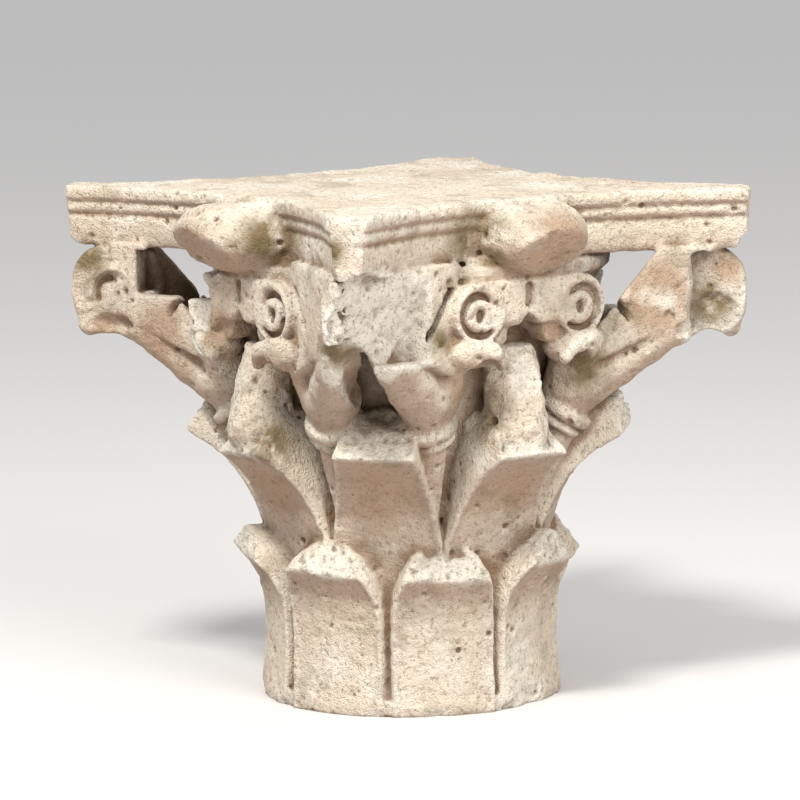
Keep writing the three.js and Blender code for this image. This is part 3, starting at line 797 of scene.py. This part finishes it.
# Where lichen and soot have stayed, and beside the bosses at turns 0 and minus a quarter also painted
# shade: turn, out, sideways, up and radius
MOSS_AND_SHADE_SPOTS = [
    (-QUARTER, 172, 42, 246, 34), (-QUARTER, 184, 56, 420, 34), (0, 178, -52, 418, 34),
    (0, 178, -95, 336, 15), (LEFT, 284, 24, 384, 24), (LEFT, 200, -36, 352, 20),
    (RIGHT, 215, -10, 352, 30), (RIGHT, 270, 0, 350, 26), (NEAR, 304, -12, 424, 13),
    (0, 168, 70, 300, 24), (0, 165, -42, 262, 30), (QUARTER, 170, 30, 260, 40),
    (BACK, 250, 0, 340, 40), (2 * QUARTER, 176, -40, 300, 40), (NEAR, 140, 0, 262, 24),
    (RIGHT, 160, 40, 390, 30), (NEAR, 240, -22, 334, 20), (-QUARTER, 190, 20, 225, 26),
    (RIGHT, 190, -44, 335, 26),
]
# Where the stone is stained pinkish brown, and where painted shade goes on faces that turn down, as the
# boss facets and the flaring leaves below their breaks
STAIN_AND_SHADE_SPOTS = [
    (0, 218, 6, 408, 52), (-QUARTER, 212, -8, 394, 50), (LEFT, 212, -26, 376, 44),
    (LEFT, 264, 26, 327, 34), (LEFT, 205, 44, 320, 44), (RIGHT, 225, -40, 360, 44),
    (RIGHT, 285, -10, 384, 24), (NEAR, 176, 0, 300, 40), (0, 172, -48, 290, 34),
    (-QUARTER, 172, 48, 296, 36), (0, 176, 20, 335, 22), (-QUARTER, 176, -30, 338, 26),
    (NEAR, 160, 0, 190, 46), (0, 150, 0, 190, 40), (-QUARTER, 150, 0, 190, 40),
    (QUARTER, 150, 0, 190, 44), (2 * QUARTER, 150, 0, 190, 44),
]


def spotted(spots_list):
    """A mask over the points of the mesh that is 1 near the spots and fades out round them."""
    mask = np.zeros(len(co), np.float32)
    for turn, out, side, up, radius in spots_list:
        cos, sin = math.cos(turn), math.sin(turn)
        middle = np.array([out * cos - side * sin, out * sin + side * cos, up])
        near = np.linalg.norm(co - middle, axis=1)
        mask = np.maximum(mask, np.clip(1.6 - 1.4 * near / radius, 0, 1))
    return mask


masks = {
    "depth": depth, "fresh": freshness, "underside_shade": underside_shade, "moss_and_shade": spotted(MOSS_AND_SHADE_SPOTS),
    "stain_and_shade": spotted(STAIN_AND_SHADE_SPOTS), "crease_shade": crease_shade, "worn_edge": worn_edge,
}
for name, values in masks.items():
    mask = mesh.attributes.new(name, "FLOAT", "POINT")
    mask.data.foreach_set("value", values.astype(np.float32))
    print("mask", name, round(float(values.mean()), 3))

# %% [markdown]
# The finish is a weathered limestone: cream, painted shade in pinkish brown where it faces down
# and deep in the carving, olive and brown where dirt has stayed, mixed with painted shade in the
# hollows, painted dark shade in the creases, pale on breaks and worn edges, with fine grey
# speckle and dark pits.


# %% Limestone finish
def socket(group, name, direction, kind, value=None):
    made = group.interface.new_socket(name=name, in_out=direction, socket_type=kind)
    if value is not None:
        made.default_value = value
    return made


def node(tree, kind, place, **values):
    made = tree.nodes.new(kind)
    made.location = place
    for key, value in values.items():
        setattr(made, key, value)
    return made


def speckle_group():
    """Spots of a given size and share: a mask that is 1 inside a spot."""
    tree = bpy.data.node_groups.new("stone_speckle", "ShaderNodeTree")
    socket(tree, "Vector", "INPUT", "NodeSocketVector")
    socket(tree, "Scale", "INPUT", "NodeSocketFloat", 300.0)
    socket(tree, "Threshold", "INPUT", "NodeSocketFloat", 0.6)
    socket(tree, "Mask", "OUTPUT", "NodeSocketFloat")
    enter = node(tree, "NodeGroupInput", (-600, 0))
    leave = node(tree, "NodeGroupOutput", (600, 0))
    noise = node(tree, "ShaderNodeTexNoise", (-300, 0))
    noise.inputs["Detail"].default_value = 3.0
    noise.inputs["Roughness"].default_value = 0.65
    less = node(tree, "ShaderNodeMath", (0, 0), operation="SUBTRACT")
    sharp = node(tree, "ShaderNodeMath", (300, 0), operation="MULTIPLY", use_clamp=True)
    sharp.inputs[1].default_value = 9.0
    tree.links.new(enter.outputs["Vector"], noise.inputs["Vector"])
    tree.links.new(enter.outputs["Scale"], noise.inputs["Scale"])
    tree.links.new(noise.outputs["Fac"], less.inputs[0])
    tree.links.new(enter.outputs["Threshold"], less.inputs[1])
    tree.links.new(less.outputs[0], sharp.inputs[0])
    tree.links.new(sharp.outputs[0], leave.inputs["Mask"])
    return tree


speckle = speckle_group()
finish = bpy.data.materials.new("limestone")
finish.use_nodes = True
tree = finish.node_tree
shader = tree.nodes["Principled BSDF"]
shader.inputs["Roughness"].default_value = 0.92
shader.inputs["Specular IOR Level"].default_value = 0.25
coords = node(tree, "ShaderNodeTexCoord", (-1600, 0))


def link(a, b):
    tree.links.new(a, b)


def spots(scale, threshold, place):
    """The speckle at one size; a higher threshold leaves fewer spots."""
    made = node(tree, "ShaderNodeGroup", place)
    made.node_tree = speckle
    made.inputs["Scale"].default_value = scale
    made.inputs["Threshold"].default_value = threshold
    link(coords.outputs["Object"], made.inputs["Vector"])
    return made.outputs["Mask"]


def between(source, low, high, place):
    """0 where the source is low, 1 where it is high, and a ramp between."""
    step = node(tree, "ShaderNodeMapRange", place)
    step.inputs["From Min"].default_value = low
    step.inputs["From Max"].default_value = high
    link(source, step.inputs["Value"])
    return step.outputs["Result"]


def noise(scale, detail, place):
    made = node(tree, "ShaderNodeTexNoise", place)
    made.inputs["Scale"].default_value = scale
    made.inputs["Detail"].default_value = detail
    link(coords.outputs["Object"], made.inputs["Vector"])
    return made.outputs["Fac"]


def noise_mask(scale, low, high, place, detail=4.0):
    return between(noise(scale, detail, place), low, high, (place[0] + 200, place[1]))


def attribute_mask(name, low, high, place):
    made = node(tree, "ShaderNodeAttribute", place, attribute_name=name)
    return between(made.outputs["Fac"], low, high, (place[0] + 200, place[1]))


def feed(target, value):
    """Set an input to a number or a colour, or link it to another node's output."""
    if isinstance(value, (int, float, tuple)):
        target.default_value = value
    else:
        link(value, target)


# The colour sockets of a mixing node
BELOW, ABOVE, MIXED = 6, 7, 2


def mix_colour(below, above, mask, place):
    """One coat of colour over another, where the mask says."""
    made = node(tree, "ShaderNodeMix", place, data_type="RGBA")
    link(mask, made.inputs["Factor"])
    feed(made.inputs[BELOW], below)
    feed(made.inputs[ABOVE], above)
    return made.outputs[MIXED]


def times(a, b, place):
    """Two masks, or a mask and a number, multiplied."""
    made = node(tree, "ShaderNodeMath", place, operation="MULTIPLY", use_clamp=True)
    feed(made.inputs[0], a)
    feed(made.inputs[1], b)
    return made.outputs[0]


CREAM = (0.70, 0.612, 0.49, 1)
CREASE_SHADE_COLOUR = (0.16, 0.095, 0.05, 1)
WARM = (0.60, 0.505, 0.395, 1)
# Painted shade, for faces that turn down and for places deep in the carving
SHADE_PINK = (0.42, 0.305, 0.23, 1)
PALE = (0.74, 0.69, 0.595, 1)
OLIVE = (0.17, 0.12, 0.052, 1)
BROWN = (0.24, 0.145, 0.075, 1)
STAIN_AND_SHADE = (0.40, 0.27, 0.18, 1)
GREY = (0.22, 0.175, 0.13, 1)
DARK = (0.05, 0.035, 0.022, 1)

deep = attribute_mask("depth", 0.54, 0.84, (-1400, 500))
fresh_mask = attribute_mask("fresh", 0.15, 0.9, (-1400, 300))
under = attribute_mask("underside_shade", 0.0, 0.75, (-1400, 900))
moss_and_shade_mask = attribute_mask("moss_and_shade", 0.0, 1.0, (-1400, 700))
colour = mix_colour(CREAM, WARM, noise_mask(9, 0.38, 0.66, (-1400, 0)), (-900, 0))
colour = mix_colour(colour, PALE, noise_mask(16, 0.50, 0.72, (-1400, -200)), (-750, 0))
# Painted shade: faces that turn down go pinkish brown
colour = mix_colour(colour, SHADE_PINK, times(under, 0.95, (-900, 500)), (-650, 0))
# Painted shade: the deeper a place lies in the carving, the more pinkish brown it gets
colour = mix_colour(colour, SHADE_PINK, times(deep, 0.6, (-900, 300)), (-600, 0))
colour = mix_colour(colour, PALE, times(fresh_mask, 0.75, (-450, 300)), (-550, 0))
# Painted shade: dark brown in the creases
crease_shade_mask = attribute_mask("crease_shade", 0.1, 0.9, (-1400, 1100))
colour = mix_colour(colour, CREASE_SHADE_COLOUR, times(crease_shade_mask, 0.75, (-600, 1100)), (-500, 0))
worn = attribute_mask("worn_edge", 0.1, 0.9, (-1400, 1300))
colour = mix_colour(colour, PALE, times(worn, 0.55, (-600, 1300)), (-475, 0))
# Real stain mixed with painted shade on the faces that turn down
stain_and_shade_mask = attribute_mask("stain_and_shade", 0.1, 0.9, (-1400, 1500))
stain_and_shade_mask = times(stain_and_shade_mask, noise_mask(26, 0.34, 0.5, (-1400, 1700), 6.0), (-700, 1500))
colour = mix_colour(colour, STAIN_AND_SHADE, times(stain_and_shade_mask, 0.9, (-600, 1500)), (-460, 0))
# Brown patina in the hollows, deepened with painted shade where the carving lies deep
patina_and_shade = times(deep, noise_mask(22, 0.40, 0.60, (-1400, -400)), (-700, -300))
colour = mix_colour(colour, BROWN, times(patina_and_shade, 0.85, (-600, -300)), (-450, 0))
# Olive lichen; beside two of the bosses it also paints the shade of the hollow
lichen_and_shade = times(moss_and_shade_mask, noise_mask(38, 0.32, 0.50, (-1400, -600), 7.0), (-700, 700))
colour = mix_colour(colour, OLIVE, times(lichen_and_shade, 0.95, (-600, 700)), (-300, 0))
faint = times(noise_mask(30, 0.55, 0.68, (-1400, -800), 7.0), 0.35, (-600, 900))
colour = mix_colour(colour, OLIVE, faint, (-250, 0))
colour = mix_colour(colour, GREY, times(spots(230, 0.555, (-700, -500)), 0.6, (-500, -500)), (-150, 0))
colour = mix_colour(colour, BROWN, times(spots(105, 0.62, (-700, -700)), 0.6, (-500, -700)), (0, 0))
colour = mix_colour(colour, DARK, times(spots(340, 0.635, (-700, -900)), 0.85, (-500, -900)), (150, 0))
link(colour, shader.inputs["Base Color"])

relief = node(tree, "ShaderNodeMath", (-150, -1200), operation="MULTIPLY_ADD")
feed(relief.inputs[0], noise(160.0, 5.0, (-400, -1300)))
feed(relief.inputs[1], 1.5)
feed(relief.inputs[2], noise(620.0, 6.0, (-400, -1100)))
bump = node(tree, "ShaderNodeBump", (150, -1100))
bump.inputs["Strength"].default_value = 0.95
bump.inputs["Distance"].default_value = 0.0036
link(relief.outputs[0], bump.inputs["Height"])
link(bump.outputs["Normal"], shader.inputs["Normal"])
mesh.materials.clear()
mesh.materials.append(finish)
print("finish nodes", len(tree.nodes))

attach(capital, "root")
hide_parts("capital")

# %% [markdown]
# A plain pale floor, a bright room, one soft lamp from the upper left as in the photograph and
# a weaker one from the right, so that the shadows are mild and the undersides stay readable.

# %% Floor and light
FLOOR_HALF = 12.0
square = [(x * FLOOR_HALF, y * FLOOR_HALF, 0) for x, y in ((-1, -1), (1, -1), (1, 1), (-1, 1))]
floor_mesh = bpy.data.meshes.new("floor")
floor_mesh.from_pydata(square, [], [(0, 1, 2, 3)])
floor = bpy.data.objects.new("floor", floor_mesh)
bpy.context.collection.objects.link(floor)
floor_finish = bpy.data.materials.new("floor_paint")
floor_finish.use_nodes = True
floor_shader = floor_finish.node_tree.nodes["Principled BSDF"]
floor_shader.inputs["Base Color"].default_value = (0.62, 0.60, 0.58, 1)
floor_shader.inputs["Roughness"].default_value = 0.8
floor_mesh.materials.append(floor_finish)


def lamp(name, azimuth, height, distance, size, power, colour):
    """A square lamp that looks at the stone; its azimuth is counted from the camera's."""
    data = bpy.data.lights.new(name, "AREA")
    data.size = size
    data.energy = power
    data.color = colour
    made = bpy.data.objects.new(name, data)
    bpy.context.collection.objects.link(made)
    angle = CAMERA_TURN + math.radians(azimuth)
    made.location = (distance * math.cos(angle), distance * math.sin(angle), height)
    made.rotation_euler = (Vector((0, 0, 0.25)) - made.location).to_track_quat("-Z", "Y").to_euler()


# Degrees, then metres for height, distance and size, then watts and colour
lamp("key", -24, 3.2, 2.2, 0.7, 146, (1.0, 0.975, 0.94))
lamp("fill", 30, 1.7, 2.9, 1.4, 66, (1.0, 0.98, 0.96))
world = bpy.data.worlds.new("room")
world.use_nodes = True
room = world.node_tree.nodes["Background"]
room.inputs["Color"].default_value = (0.95, 0.97, 1.0, 1)
room.inputs["Strength"].default_value = 0.8
bpy.context.scene.world = world
bpy.context.scene.view_settings.view_transform = "Standard"
